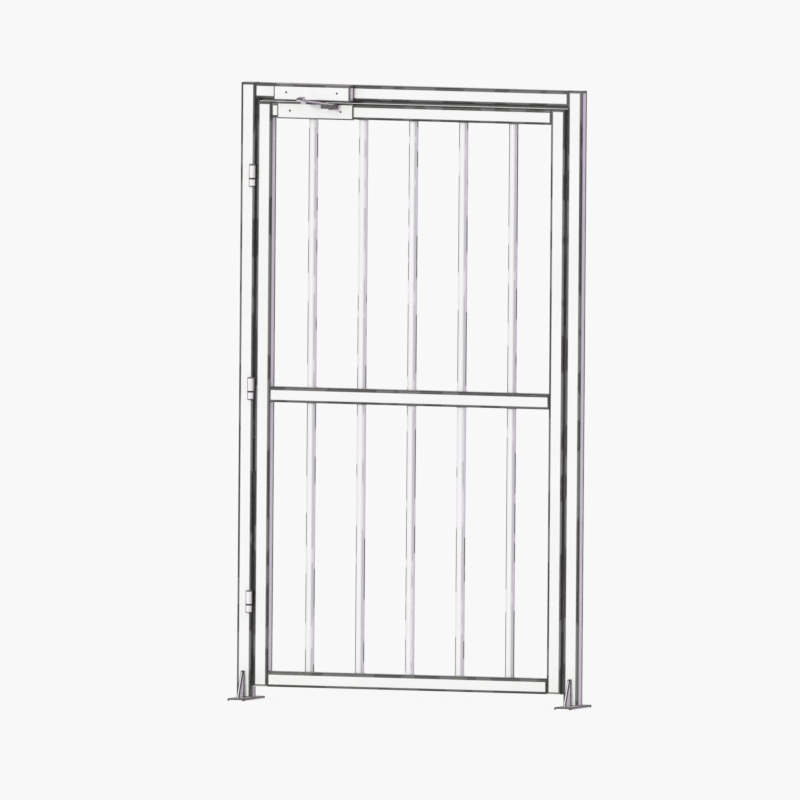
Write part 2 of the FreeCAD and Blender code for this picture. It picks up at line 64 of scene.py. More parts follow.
towards = Vector((math.sin(CAMERA_AZIMUTH) * math.cos(CAMERA_HEIGHT),
                  -math.cos(CAMERA_AZIMUTH) * math.cos(CAMERA_HEIGHT),
                  math.sin(CAMERA_HEIGHT)))
level = Vector((math.cos(CAMERA_AZIMUTH), math.sin(CAMERA_AZIMUTH), 0.0))
square_up = towards.cross(level)
across = (level + CAMERA_LEAN * square_up).normalized()
up = towards.cross(across)

camera = bpy.data.objects.new("camera", bpy.data.cameras.new("camera"))
camera.data.type = "ORTHO"
camera.data.ortho_scale = PICTURE_WIDTH
camera.data.clip_end = FARTHEST_SEEN
turn = Matrix((across, up, towards)).transposed().to_4x4()
camera.matrix_world = Matrix.Translation(CAMERA_AIM + CAMERA_DISTANCE * towards) @ turn
scene.collection.objects.link(camera)
scene.camera = camera
print("camera at", [round(value, 3) for value in camera.matrix_world.translation])

# %% [markdown]
# ## Small helpers for shader nodes
# A material is a tree of nodes. Two helpers keep the cells short: one adds a node and feeds its inputs, either with
# a number or with another node's output, and one opens a new node group with named sockets.

# %% Node helpers


def add_node(tree, kind, inputs=(), **settings):
    """Adds a node, applies its settings, and sets or links each input named in the dictionary."""
    made = tree.nodes.new(kind)
    for name, value in settings.items():
        setattr(made, name, value)
    for name, value in dict(inputs).items():
        if isinstance(value, bpy.types.NodeSocket):
            tree.links.new(value, made.inputs[name])
        else:
            made.inputs[name].default_value = value
    return made


def calculate(tree, operation, first, second=0.0, clamp=False):
    """One Math node's output: operation of first and second."""
    return add_node(tree, "ShaderNodeMath", {0: first, 1: second}, operation=operation, use_clamp=clamp).outputs[0]


def vector_step(tree, operation, first, second):
    """One Vector Math node's vector output: operation of first and second, part by part."""
    return add_node(tree, "ShaderNodeVectorMath", {0: first, 1: second}, operation=operation).outputs["Vector"]


def mix_colours(tree, share, first, second):
    """A colour that goes from first at share 0 to second at share 1."""
    made = add_node(tree, "ShaderNodeMix", data_type="RGBA")
    for socket, value in ((0, share), (6, first), (7, second)):
        if isinstance(value, bpy.types.NodeSocket):
            tree.links.new(value, made.inputs[socket])
        else:
            made.inputs[socket].default_value = value
    return made.outputs[2]


def new_group(name, inputs, outputs):
    """An empty shader group with named sockets. Each input is (name, kind, default), each output (name, kind)."""
    tree = bpy.data.node_groups.new(name, "ShaderNodeTree")
    for label, kind, value in inputs:
        socket = tree.interface.new_socket(name=label, in_out="INPUT", socket_type="NodeSocket" + kind)
        socket.default_value = value
    for label, kind in outputs:
        tree.interface.new_socket(name=label, in_out="OUTPUT", socket_type="NodeSocket" + kind)
    return tree, tree.nodes.new("NodeGroupInput").outputs, tree.nodes.new("NodeGroupOutput").inputs


def use_group(tree, group, inputs=()):
    """Places a group in a tree and feeds its inputs; returns its outputs."""
    return add_node(tree, "ShaderNodeGroup", inputs, node_tree=group).outputs


# %% [markdown]
# ## The dark lines along the edges
# Powder coat pulls thin over a sharp edge, and hands and trolleys rub it there first, so each tube of this gate has a
# dark line along its corners. The line could be painted by hand on a texture, or found with a pointiness or bevel
# node. Here it is measured: a point's distance to the nearest face of the piece is known on each of the three axes,
# and wherever two of the three distances are small, the point lies at an edge. The line stays put on the piece from
# every side. A stretched noise thins it in places as wear does, down to a least strength, so it never quite ends.

# %% Edge line group
EDGE_STEEPNESS = 2500.0
BREAK_STEEPNESS = 30.0
BREAK_LIFT = 2.6


def steep_noise(tree, place, detail, breaks):
    """Kept share = steepness x (noise - 0.5) + lift - breaks, cut to 0..1: long whole stretches with crisp ends."""
    noise = add_node(tree, "ShaderNodeTexNoise", {"Vector": place, "Scale": 1.0, "Detail": detail})
    centred = calculate(tree, "SUBTRACT", noise.outputs["Fac"], 0.5)
    lifted = calculate(tree, "ADD", calculate(tree, "MULTIPLY", centred, BREAK_STEEPNESS), BREAK_LIFT)
    return calculate(tree, "SUBTRACT", lifted, breaks, clamp=True)


def make_edge_line():
    """Mask = (number of box faces nearer than the line width) - (faces needed - 1), cut to 0..1, and this times
    least + (1 - least) x breaks, the breaks being a steep noise cut to 0..1."""
    tree, given, result = new_group(
        "edge_line",
        [("Place", "Vector", (0, 0, 0)), ("Low corner", "Vector", (0, 0, 0)), ("High corner", "Vector", (1, 1, 1)),
         ("Line width", "Vector", (0.004, 0.004, 0.004)), ("Faces needed", "Float", 2.0),
         ("Breaks", "Float", 0.3), ("Break scale", "Vector", (6, 6, 6)), ("Least", "Float", 0.6)],
        [("Mask", "Float")])
    above_low = vector_step(tree, "SUBTRACT", given["Place"], given["Low corner"])
    below_high = vector_step(tree, "SUBTRACT", given["High corner"], given["Place"])
    nearest = vector_step(tree, "MINIMUM", above_low, below_high)
    inside_line = vector_step(tree, "SUBTRACT", given["Line width"], nearest)
    sharp = vector_step(tree, "MULTIPLY", inside_line, (EDGE_STEEPNESS,) * 3)
    near = vector_step(tree, "MINIMUM", vector_step(tree, "MAXIMUM", sharp, (0, 0, 0)), (1, 1, 1))
    count = add_node(tree, "ShaderNodeVectorMath", {0: near, 1: (1, 1, 1)}, operation="DOT_PRODUCT").outputs["Value"]
    over = calculate(tree, "SUBTRACT", count, calculate(tree, "SUBTRACT", given["Faces needed"], 1.0), clamp=True)
    place = vector_step(tree, "MULTIPLY", given["Place"], given["Break scale"])
    kept = steep_noise(tree, place, 0.0, given["Breaks"])
    rest = calculate(tree, "MULTIPLY", calculate(tree, "SUBTRACT", 1.0, given["Least"]), kept)
    strength = calculate(tree, "ADD", given["Least"], rest)
    tree.links.new(calculate(tree, "MULTIPLY", over, strength), result["Mask"])
    return tree


edge_line = make_edge_line()
print("group", edge_line.name, [item.name for item in edge_line.interface.items_tree])

# %% [markdown]
# ## The lines along round pieces
# A round bar has no edge, yet the gate shows a thin grey line down the left of each bar and a dashed one down the
# right: the lengthwise seam of the rolled tube on one side, and on the other the rub of hands. A place on a round bar
# is told by the way it faces, so the group compares the surface's own direction with a given one.

# %% Side line group
SIDE_STEEPNESS = 200.0


def make_side_line():
    """Mask = 1 where the cosine between the surface's direction and the given one is above the limit, broken up."""
    tree, given, result = new_group(
        "side_line",
        [("Direction", "Vector", (1, 0, 0)), ("Cosine", "Float", 0.97), ("Breaks", "Float", 0.3),
         ("Break scale", "Vector", (3, 3, 3))],
        [("Mask", "Float")])
    place = add_node(tree, "ShaderNodeTexCoord")
    facing = add_node(tree, "ShaderNodeVectorMath", {0: place.outputs["Normal"], 1: given["Direction"]},
                      operation="DOT_PRODUCT").outputs["Value"]
    over = calculate(tree, "MULTIPLY", calculate(tree, "SUBTRACT", facing, given["Cosine"]), SIDE_STEEPNESS,
                     clamp=True)
    spread = vector_step(tree, "MULTIPLY", place.outputs["Object"], given["Break scale"])
    kept = steep_noise(tree, spread, 1.0, given["Breaks"])
    tree.links.new(calculate(tree, "MULTIPLY", over, kept), result["Mask"])
    return tree


side_line = make_side_line()
print("group", side_line.name, "made")

# %% [markdown]
# ## Powder coat
# Powder coat is plastic dust melted onto steel. Close up it has an orange-peel skin of shallow dimples two or three
# millimetres across, its gloss drifts a little from place to place, and its white varies by a percent. One group
# gives the dimples as a height, and the changes of gloss and of tone as two numbers about zero.

# %% Powder skin group
CLOUD_SCALE = 42.0
FINE_SHARE = 0.1


def make_powder_skin():
    """Height = dimples + a tenth of fine grain; Gloss change and Tone change are slow noises about zero."""
    tree, given, result = new_group(
        "powder_skin",
        [("Dimple scale", "Float", 380.0), ("Grain scale", "Float", 2200.0), ("Drift scale", "Float", 5.0)],
        [("Height", "Float"), ("Gloss change", "Float"), ("Tone change", "Float")])
    place = add_node(tree, "ShaderNodeTexCoord").outputs["Object"]
    dimples = add_node(tree, "ShaderNodeTexVoronoi", {"Vector": place, "Scale": given["Dimple scale"]},
                       feature="SMOOTH_F1")
    grain = add_node(tree, "ShaderNodeTexNoise", {"Vector": place, "Scale": given["Grain scale"], "Detail": 1.0})
    drift = add_node(tree, "ShaderNodeTexNoise", {"Vector": place, "Scale": given["Drift scale"], "Detail": 3.0})
    fine = calculate(tree, "MULTIPLY", grain.outputs["Fac"], FINE_SHARE)
    tree.links.new(calculate(tree, "ADD", dimples.outputs["Distance"], fine), result["Height"])
    about_zero = calculate(tree, "SUBTRACT", drift.outputs["Fac"], 0.5)
    tree.links.new(about_zero, result["Tone change"])
    cloud = add_node(tree, "ShaderNodeTexNoise", {"Vector": place, "Scale": CLOUD_SCALE, "Detail": 4.0})
    tree.links.new(calculate(tree, "SUBTRACT", cloud.outputs["Fac"], 0.5), result["Gloss change"])
    return tree


powder_skin = make_powder_skin()
print("group", powder_skin.name, "made")

# %% [markdown]
# ## Dust
# Dust settles on whatever faces up and clings lower down, where feet and rain throw it. The mask is made from the
# upward part of the surface's direction and from the height above the floor, both broken by noise, so it is thin on
# the rails and thickest on the base plates.

# %% Dust group
DUST_SCALE = 28.0
DUST_PATCHES = 1.6


def make_settled_dust():
    """Mask = (amount x upward facing part + splash x share that fades with height above the floor) x noise."""
    tree, given, result = new_group(
        "settled_dust",
        [("Amount", "Float", 0.2), ("Splash", "Float", 0.06), ("Splash height", "Float", 0.16)],
        [("Mask", "Float")])
    where = add_node(tree, "ShaderNodeTexCoord")
    height = add_node(tree, "ShaderNodeSeparateXYZ", {0: where.outputs["Object"]}).outputs["Z"]
    upward = add_node(tree, "ShaderNodeSeparateXYZ", {0: where.outputs["Normal"]}).outputs["Z"]
    lying = calculate(tree, "MULTIPLY", calculate(tree, "SUBTRACT", upward, 0.5), 2.0, clamp=True)
    low_down = calculate(tree, "SUBTRACT", 1.0, calculate(tree, "DIVIDE", height, given["Splash height"]), clamp=True)
    both = calculate(tree, "ADD", calculate(tree, "MULTIPLY", lying, given["Amount"]),
                     calculate(tree, "MULTIPLY", low_down, given["Splash"]), clamp=True)
    noise = add_node(tree, "ShaderNodeTexNoise",
                     {"Vector": where.outputs["Object"], "Scale": DUST_SCALE, "Detail": 6.0, "Roughness": 0.65})
    patchy = calculate(tree, "MULTIPLY", noise.outputs["Fac"], DUST_PATCHES, clamp=True)
    tree.links.new(calculate(tree, "MULTIPLY", both, patchy), result["Mask"])
    return tree


settled_dust = make_settled_dust()
print("group", settled_dust.name, "made")

# %% [markdown]
# ## One paint, many pieces
# All tubes and plates share the white paint, but the edge line has to know the corners of its own piece. A gusset's
# sloping edge isn't on its box, so its places are sheared first, which stands the slope upright.

# %% Paint
WHITE = (0.885, 0.885, 0.885, 1)
# The dark colour of the edge lines, also used for the painted shade in the gaps round the leaf and on the bars.
LINE_AND_SHADE_COLOUR = (0.026, 0.020, 0.022, 1)
LINE_AND_SHADE_RUBBED = (0.058, 0.048, 0.046, 1)
DUST_COLOUR = (0.38, 0.355, 0.335, 1)
DARKER_SHARE = 0.955
LIGHTER_SHARE = 1.01
WHITEST = 0.93
PEEL_HEIGHT = 0.06 * MM


def finish_paint(material, tree, masks, white=WHITE, roughness=0.42, bump=PEEL_HEIGHT, dust=0.62):
    """White paint with drift, dust, and masks for dark lines and painted shade, joined to the material's own shader."""
    shader = tree.nodes["Principled BSDF"]
    coat = use_group(tree, powder_skin)
    dirt = use_group(tree, settled_dust, {"Amount": dust})["Mask"]
    darker = tuple(part * DARKER_SHARE for part in white[:3]) + (1,)
    lighter = tuple(min(part * LIGHTER_SHARE, WHITEST) for part in white[:3]) + (1,)
    tone = calculate(tree, "ADD", calculate(tree, "MULTIPLY", coat["Tone change"], 1.4), 0.62, clamp=True)
    colour = mix_colours(tree, dirt, mix_colours(tree, tone, darker, lighter), DUST_COLOUR)
    mask = masks[0]
    for other in masks[1:]:
        mask = calculate(tree, "MAXIMUM", mask, other)
    grain = calculate(tree, "ADD", calculate(tree, "MULTIPLY", coat["Gloss change"], 3.0), 0.35, clamp=True)
    colour = mix_colours(tree, mask, colour, mix_colours(tree, grain, LINE_AND_SHADE_COLOUR, LINE_AND_SHADE_RUBBED))
    tree.links.new(colour, shader.inputs["Base Color"])
    gloss = calculate(tree, "ADD", calculate(tree, "MULTIPLY", coat["Gloss change"], 0.22), roughness)
    tree.links.new(calculate(tree, "ADD", gloss, calculate(tree, "MULTIPLY", dirt, 0.6), clamp=True),
                   shader.inputs["Roughness"])
    relief = add_node(tree, "ShaderNodeBump", {"Height": coat["Height"], "Distance": bump, "Strength": 0.6})
    tree.links.new(relief.outputs["Normal"], shader.inputs["Normal"])
    return material


def new_material(name):
    """An empty node material and its tree."""
    material = bpy.data.materials.new(name)
    material.use_nodes = True
    return material, material.node_tree


def boxed_line(tree, low, high, width, faces=2.0, breaks=0.3, break_scale=(6, 6, 6), place=None, least=0.6):
    """The edge line of a box from low to high, read in object coordinates unless another place is given."""
    if place is None:
        place = add_node(tree, "ShaderNodeTexCoord").outputs["Object"]
    return use_group(tree, edge_line, {
        "Place": place, "Low corner": low, "High corner": high, "Line width": width,
        "Faces needed": faces, "Breaks": breaks, "Break scale": break_scale, "Least": least})["Mask"]


def dress(node, material):
    """Gives a carried-over node its material in every slot."""
    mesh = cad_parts[node].data
    mesh.materials.clear()
    mesh.materials.append(material)


# %% [markdown]
# ## Square tubes and their caps
# On a tube the line runs along the four long corners and, thinner, round the two ends, where it marks the joint with
# the next member. The long axis is the one on which the node's box is longest. The faces on either side of the gap
# round the leaf get painted shade, as deep as anything can be seen in there.

# %% Dress the tubes
FRONT_LINE = 8.4 * MM
SIDE_LINE = 10.5 * MM
JOINT_LINE = 4.4 * MM
BACK_EXTRA = Vector((0, 4 * MM, 0))
TOP_EXTRA = Vector((0, 0, 2.4 * MM))
FAR_AWAY = 1.0
GAP_SHADE_DEPTH = 24 * MM
GAP_SHADE_FACE = 1 * MM
GAP_SHADE_BREAKS = 1.8
GAP_SHADE_LEAST = 0.78
ACROSS_STRETCH = 12.0
UPRIGHT_STRETCH = 8.0
LEVEL_STRETCH = 13.0
WORN_BREAKS = 1.4
UPRIGHT_LEAST = 0.88
LEVEL_LEAST = 0.92
LOW_CAP = 0.5
LOW_CAP_SHARE = 0.3
tubes = ["hinge_post", "latch_post", "header", "hinge_stile", "latch_stile",
         "bottom_rail", "middle_rail", "top_rail"]
gap_shaded_faces = {"hinge_post": 1, "hinge_stile": -1, "latch_stile": 1, "latch_post": -1}
for node in tubes:
    low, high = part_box(node)
    long_axis = int(np.argmax(np.array(high) - np.array(low)))
    width = [FRONT_LINE, SIDE_LINE, FRONT_LINE]
    width[long_axis] = JOINT_LINE
    upright = long_axis == 2
    stretch = [ACROSS_STRETCH] * 3
    stretch[long_axis] = UPRIGHT_STRETCH if upright else LEVEL_STRETCH
    material, tree = new_material(node + "_paint")
    wider = BACK_EXTRA if upright else TOP_EXTRA
    masks = [boxed_line(tree, low, high - wider, width, break_scale=stretch, breaks=WORN_BREAKS,
                        least=UPRIGHT_LEAST if upright else LEVEL_LEAST)]
    # Painted shade: the faces beside the gap round the leaf are darkened as deep as one can see into the gap.
    if node in gap_shaded_faces:
        beyond = Vector((FAR_AWAY, 0, FAR_AWAY))
        shade_low, shade_high = low - beyond, high + beyond + Vector((0, FAR_AWAY, 0))
        if gap_shaded_faces[node] > 0:
            shade_high.x = high.x
        else:
            shade_low.x = low.x
        masks.append(boxed_line(tree, shade_low, shade_high, (GAP_SHADE_FACE, GAP_SHADE_DEPTH, 0), breaks=GAP_SHADE_BREAKS,
                                least=GAP_SHADE_LEAST))
    dress(node, finish_paint(material, tree, masks))

caps = [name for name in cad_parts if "_cap" in name]
for node in caps:
    low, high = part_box(node)
    material, tree = new_material(node + "_paint")
    line = boxed_line(tree, low, high, (FRONT_LINE, SIDE_LINE, FRONT_LINE), breaks=0.1)
    if low.z < LOW_CAP:
        line = calculate(tree, "MULTIPLY", line, LOW_CAP_SHARE)
    dress(node, finish_paint(material, tree, [line]))
print("tubes", len(tubes), "caps", len(caps))

# %% [markdown]
# ## Base plates and gussets
# The plates were cut from thick sheet. Their upper edges carry the line and the lower ones meet the floor without one.
# A gusset has two lines' worth of edges: the slope's, read in sheared places, and the upright and level ones.

# %% Dress the plates
PLATE_LINE = (6 * MM, 14 * MM, 5 * MM)
GUSSET_LINE = (1.6 * MM, 11.0 * MM, 4.4 * MM)
GUSSET_TOP = 18 * MM
plates = [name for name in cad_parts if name.endswith("_base_plate")]
for node in plates:
    low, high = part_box(node)
    material, tree = new_material(node + "_paint")
    line = boxed_line(tree, (low.x, low.y, low.z - FAR_AWAY), high, PLATE_LINE, breaks=0.0, least=0.9)
    dress(node, finish_paint(material, tree, [line], dust=0.4))
gussets = [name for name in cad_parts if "_gusset_" in name]
for node in gussets:
    low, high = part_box(node)
    side = -1.0 if node.endswith("front") else 1.0
    reach = high.y - low.y
    slope = (reach - GUSSET_TOP) / (high.z - low.z)
    material, tree = new_material(node + "_paint")
    place = add_node(tree, "ShaderNodeTexCoord").outputs["Object"]
    parts = add_node(tree, "ShaderNodeSeparateXYZ", {0: place}).outputs
    lift = calculate(tree, "MULTIPLY", calculate(tree, "SUBTRACT", parts["Z"], low.z), side * slope)
    sheared = add_node(tree, "ShaderNodeCombineXYZ",
                       {"X": parts["X"], "Y": calculate(tree, "ADD", parts["Y"], lift), "Z": parts["Z"]}).outputs[0]
    outer = low.y if side < 0 else high.y
    far = outer - side * FAR_AWAY
    span = (min(outer, far), max(outer, far))
    slanted = boxed_line(tree, (low.x, span[0], low.z - FAR_AWAY), (high.x, span[1], high.z), GUSSET_LINE,
                         breaks=0.0, place=sheared, least=0.9)
    upright_line = boxed_line(tree, (low.x, low.y if side > 0 else low.y - FAR_AWAY, low.z - FAR_AWAY),
                              (high.x, high.y if side < 0 else high.y + FAR_AWAY, high.z), GUSSET_LINE,
                              breaks=0.0, place=place, least=0.9)
    dress(node, finish_paint(material, tree, [slanted, upright_line], dust=0.2))
print("plates", len(plates), "gussets", len(gussets))

# %% [markdown]
# ## Round bars
# The bars share one material with three marks, each given as the way it faces, its half width, its breaks and its
# strength: a worn line at the left front, a faint grey band of painted shade at the right front, and at the right a
# line that a stretched noise cuts into the long dashes that the real bars show.

# %% Dress the bars


def level_direction(degrees):
    """A level direction, turned from straight ahead (-Y) towards the right (+X) by so many degrees."""
    return (math.sin(math.radians(degrees)), -math.cos(math.radians(degrees)), 0.0)


BAR_DASHES = (9.0, 9.0, 7.0)
# The second row paints a faint band of shade on the right front of each bar; the first and third are lines.
BAR_LINES_AND_SHADE = [(-55.0, 17.0, 1.0, 0.92), (44.0, 13.0, 0.0, 0.26), (86.0, 17.0, 3.3, 0.93)]
material, tree = new_material("bar_paint")
bar_line_and_shade_masks = []
for facing, half_width, breaks, strength in BAR_LINES_AND_SHADE:
    line = use_group(tree, side_line, {"Direction": level_direction(facing), "Breaks": breaks,
                                       "Cosine": math.cos(math.radians(half_width)), "Break scale": BAR_DASHES})
    bar_line_and_shade_masks.append(calculate(tree, "MULTIPLY", line["Mask"], strength))
finish_paint(material, tree, bar_line_and_shade_masks)
bars = [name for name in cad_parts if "_bar_" in name]
for node in bars:
    dress(node, material)
print("bars", len(bars))

# %% [markdown]
# ## Hinges, closer and arm
# The hinge barrels are turned, so their lines run round the ends. The closer and its plate are smooth enamel with
# hardly any orange peel. The arm is enamelled too, worn to dark steel round its pivots and along its narrow edges.

# %% Dress the hinges
BARREL = 20 * MM
POST_BARREL_HEIGHT = 26 * MM
HINGE_END_LINE = 3.0 * MM
HINGE_LEFT_FACING = -62.0
HINGE_LEFT_HALF_WIDTH = 28.0
HINGE_LEFT_STRENGTH = 0.8
hinges = [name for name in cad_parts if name.startswith(("post_hinge", "leaf_hinge"))]
for node in hinges:
    low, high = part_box(node)
    if node.startswith("post"):
        high = Vector((high.x, high.y, low.z + POST_BARREL_HEIGHT))
    material, tree = new_material(node + "_paint")
    masks = [boxed_line(tree, low - Vector((1, 1, 0)), high + Vector((1, 1, 0)), (0, 0, HINGE_END_LINE), faces=1.0,
                        breaks=0.0, least=0.9)]
    left = use_group(tree, side_line, {"Direction": level_direction(HINGE_LEFT_FACING), "Breaks": 0.0,
                                       "Cosine": math.cos(math.radians(HINGE_LEFT_HALF_WIDTH))})["Mask"]
    masks.append(calculate(tree, "MULTIPLY", left, HINGE_LEFT_STRENGTH))
    if node.startswith("leaf"):
        barrel_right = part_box(node.replace("leaf", "post"))[0].x + BARREL
        masks.append(boxed_line(tree, low - Vector((1, 1, 1)), high + Vector((0, 1, 1)),
                                (high.x - barrel_right, 0, 0), faces=1.0, breaks=0.0, least=0.9))
    dress(node, finish_paint(material, tree, masks))
print("hinges", len(hinges))

# %% Dress the closer
ENAMEL = (0.90, 0.90, 0.90, 1)
ENAMEL_PEEL = 0.02 * MM
CLOSER_LINE = (4.4 * MM, 9.0 * MM, 4.4 * MM)
CLOSER_TOP_EXTRA = 4 * MM
for node in ("closer_body", "arm_plate"):
    low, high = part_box(node)
    material, tree = new_material(node + "_enamel")
    wider = Vector((0, 0, CLOSER_TOP_EXTRA if node == "closer_body" else 0))
    line = boxed_line(tree, low, high - wider, CLOSER_LINE, breaks=0.0, least=0.9)
    dress(node, finish_paint(material, tree, [line], white=ENAMEL, roughness=0.3, bump=ENAMEL_PEEL))
print("closer body and arm plate dressed")

# %% [markdown]
# The arm's wear is told by how far a face leans: the rod's flanks, between level and upright, are dark, its top and
# bottom are bright, and the walls of the flat pieces are worn all round. Leaning = the upright part of the surface's
# direction, without its sign.

# %% Dress the arm
arm = ("main_arm", "forearm", "elbow_rivet", "shoe_pin", "arm_shoe", "closer_spindle")
FLANK_FROM, LYING_FROM, WALL_TO, NARROW_TO = 0.32, 0.97, 0.06, 0.6
FLANK_STRENGTH, WALL_STRENGTH = 0.92, 0.45
for node in arm:
    material, tree = new_material(node + "_enamel")
    facing = add_node(tree, "ShaderNodeTexCoord").outputs["Normal"]
    height = add_node(tree, "ShaderNodeSeparateXYZ", {0: facing}).outputs["Z"]
    flat = calculate(tree, "ABSOLUTE", height)
    if node == "forearm":
        flank = calculate(tree, "MULTIPLY", calculate(tree, "SUBTRACT", flat, FLANK_FROM), 8.0, clamp=True)
        lying = calculate(tree, "MULTIPLY", calculate(tree, "SUBTRACT", flat, LYING_FROM), 60.0, clamp=True)
        wall = calculate(tree, "MULTIPLY", calculate(tree, "SUBTRACT", WALL_TO, flat), 60.0, clamp=True)
        worn = calculate(tree, "MULTIPLY", calculate(tree, "SUBTRACT", flank, lying), FLANK_STRENGTH)
        edge = calculate(tree, "ADD", worn, calculate(tree, "MULTIPLY", wall, WALL_STRENGTH))
    else:
        narrow = calculate(tree, "MULTIPLY", calculate(tree, "SUBTRACT", NARROW_TO, flat), 6.0, clamp=True)
        edge = calculate(tree, "MULTIPLY", narrow, FLANK_STRENGTH)
    dress(node, finish_paint(material, tree, [edge], white=ENAMEL, roughness=0.35, bump=ENAMEL_PEEL))
print("arm pieces", len(arm))

# %% [markdown]
# ## Floor and light
# The studio is a white floor that runs out of sight and a white sky. For the camera both show as the same pale tone,
# so there is no horizon, while the light that they give is lower, so the white paint keeps its shades. One soft lamp
# stands far off, almost straight in front of the gate and a little above it: the faces turned to the front are
# bright, its shadows fall behind the gate, and the faces turned right are lit only by the faintly lilac room.

# %% Floor
FLOOR_HALF = 60.0
BACKDROP = (0.947, 0.953, 0.946, 1)
FLOOR_GLOW = 1.064
FLOOR_SHOWN = 0.86
FLOOR_POINTS = 9
steps = np.linspace(-FLOOR_HALF, FLOOR_HALF, FLOOR_POINTS)
grid_x, grid_y = np.meshgrid(steps, steps)
points = np.stack([grid_x.ravel(), grid_y.ravel(), np.zeros(grid_x.size)], axis=1)
first_row = np.arange(FLOOR_POINTS - 1)
corner = (first_row[:, None] * FLOOR_POINTS + first_row[None, :]).ravel()
beyond = corner + FLOOR_POINTS
faces = np.stack([corner, corner + 1, beyond + 1, beyond], axis=1)
mesh = bpy.data.meshes.new("studio_floor")
mesh.from_pydata(points.tolist(), [], faces.tolist())
floor = bpy.data.objects.new("studio_floor", mesh)
scene.collection.objects.link(floor)
material, tree = new_material("studio_floor")
shader = tree.nodes["Principled BSDF"]
shader.inputs["Roughness"].default_value = 0.9
shader.inputs["Specular IOR Level"].default_value = 0.1
shader.inputs["Base Color"].default_value = (0.8, 0.8, 0.8, 1)
glow = add_node(tree, "ShaderNodeEmission", {"Color": BACKDROP, "Strength": FLOOR_GLOW})
seen = add_node(tree, "ShaderNodeLightPath").outputs
share = calculate(tree, "MULTIPLY",
                  calculate(tree, "MAXIMUM", seen["Is Camera Ray"], seen["Is Glossy Ray"]), FLOOR_SHOWN)
blend = add_node(tree, "ShaderNodeMixShader", {0: share, 1: shader.outputs[0], 2: glow.outputs[0]})
tree.links.new(blend.outputs[0], tree.nodes["Material Output"].inputs["Surface"])
mesh.materials.append(material)
print("floor faces", len(faces))

# %% Light
ROOM_LIGHT = (0.614, 0.512, 0.660, 1)
world = bpy.data.worlds.new("studio")
world.use_nodes = True
scene.world = world
tree = world.node_tree
room = tree.nodes["Background"]
room.inputs["Color"].default_value = ROOM_LIGHT
shown = add_node(tree, "ShaderNodeBackground", {"Color": BACKDROP, "Strength": 1.0})
seen = add_node(tree, "ShaderNodeLightPath").outputs
share = calculate(tree, "MAXIMUM", seen["Is Camera Ray"], seen["Is Glossy Ray"])
blend = add_node(tree, "ShaderNodeMixShader", {0: share, 1: room.outputs[0], 2: shown.outputs[0]})
tree.links.new(blend.outputs[0], tree.nodes["World Output"].inputs["Surface"])

LAMP_AZIMUTH = -7.0
LAMP_HEIGHT = 9.0
LAMP_STRENGTH = 1.59
LAMP_COLOUR = (0.852, 0.99, 0.778)
LAMP_SPREAD = 12.0
lamp = bpy.data.objects.new("studio_lamp", bpy.data.lights.new("studio_lamp", "SUN"))
lamp.data.energy = LAMP_STRENGTH
lamp.data.angle = math.radians(LAMP_SPREAD)
lamp.data.color = LAMP_COLOUR
lamp_direction = Vector(level_direction(LAMP_AZIMUTH)) * math.cos(math.radians(LAMP_HEIGHT))
lamp_direction.z = math.sin(math.radians(LAMP_HEIGHT))
lamp.rotation_mode = "QUATERNION"
lamp.rotation_quaternion = lamp_direction.to_track_quat("Z", "Y")
scene.collection.objects.link(lamp)
scene.view_settings.view_transform = "Standard"
print("lamp from", [round(value, 2) for value in lamp_direction])

# %% [markdown]
# ## Making a surface with numpy
# Screws, weld beads and trim are surfaces on a grid: one parameter runs along the piece and the other round it. All
# points come out of one array expression, and the faces join each point with its neighbours. A piece may hold many
# such surfaces, so each set of screws, such as those of the closer, is one object.

# %% Surface helpers


def grid_faces(rows, columns, first, rows_close):
    """Quads (i, j), (i, j+1), (i+1, j+1), (i+1, j) over a grid of points numbered row by row from first.
    The columns always close on themselves, the rows where asked."""
    i, j = np.meshgrid(np.arange(rows if rows_close else rows - 1), np.arange(columns), indexing="ij")
    i, j = i.ravel(), j.ravel()
    below, beside = (i + 1) % rows, (j + 1) % columns
    quads = [i * columns + j, i * columns + beside, below * columns + beside, below * columns + j]
    return (first + np.stack(quads, axis=1)).tolist()


def make_piece(name, surfaces, body, material, smooth_angle=35.0):
    """One object from several grids, each (points[rows, columns, 3], rows_close). Open grids get a face at each end."""
    points, faces, first = [], [], 0
    for grid, rows_close in surfaces:
        rows, columns = grid.shape[:2]
        points.append(grid.reshape(-1, 3))
        faces += grid_faces(rows, columns, first, rows_close)
        if not rows_close:
            faces.append((first + np.arange(columns)[::-1]).tolist())
            faces.append((first + (rows - 1) * columns + np.arange(columns)).tolist())
        first += rows * columns
    mesh = bpy.data.meshes.new(name)
    mesh.from_pydata(np.concatenate(points).tolist(), [], faces)
    mesh.validate()
    mesh.shade_smooth()
    mesh.set_sharp_from_angle(angle=math.radians(smooth_angle))
    mesh.materials.append(material)
    piece = bpy.data.objects.new(name, mesh)
    scene.collection.objects.link(piece)
    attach(piece, body)
    print(name, "faces", len(faces), "on", body)
    return piece


def axes_about(direction):
    """The direction made one long, and two more that stand square to it and to each other."""
    along = np.array(direction, float) / np.linalg.norm(direction)
    first = np.cross((0, 0, 1) if abs(along[2]) < 0.9 else (0, 1, 0), along)
    first /= np.linalg.norm(first)
    return along, first, np.cross(along, first)


SOCKET_SIDES = 6


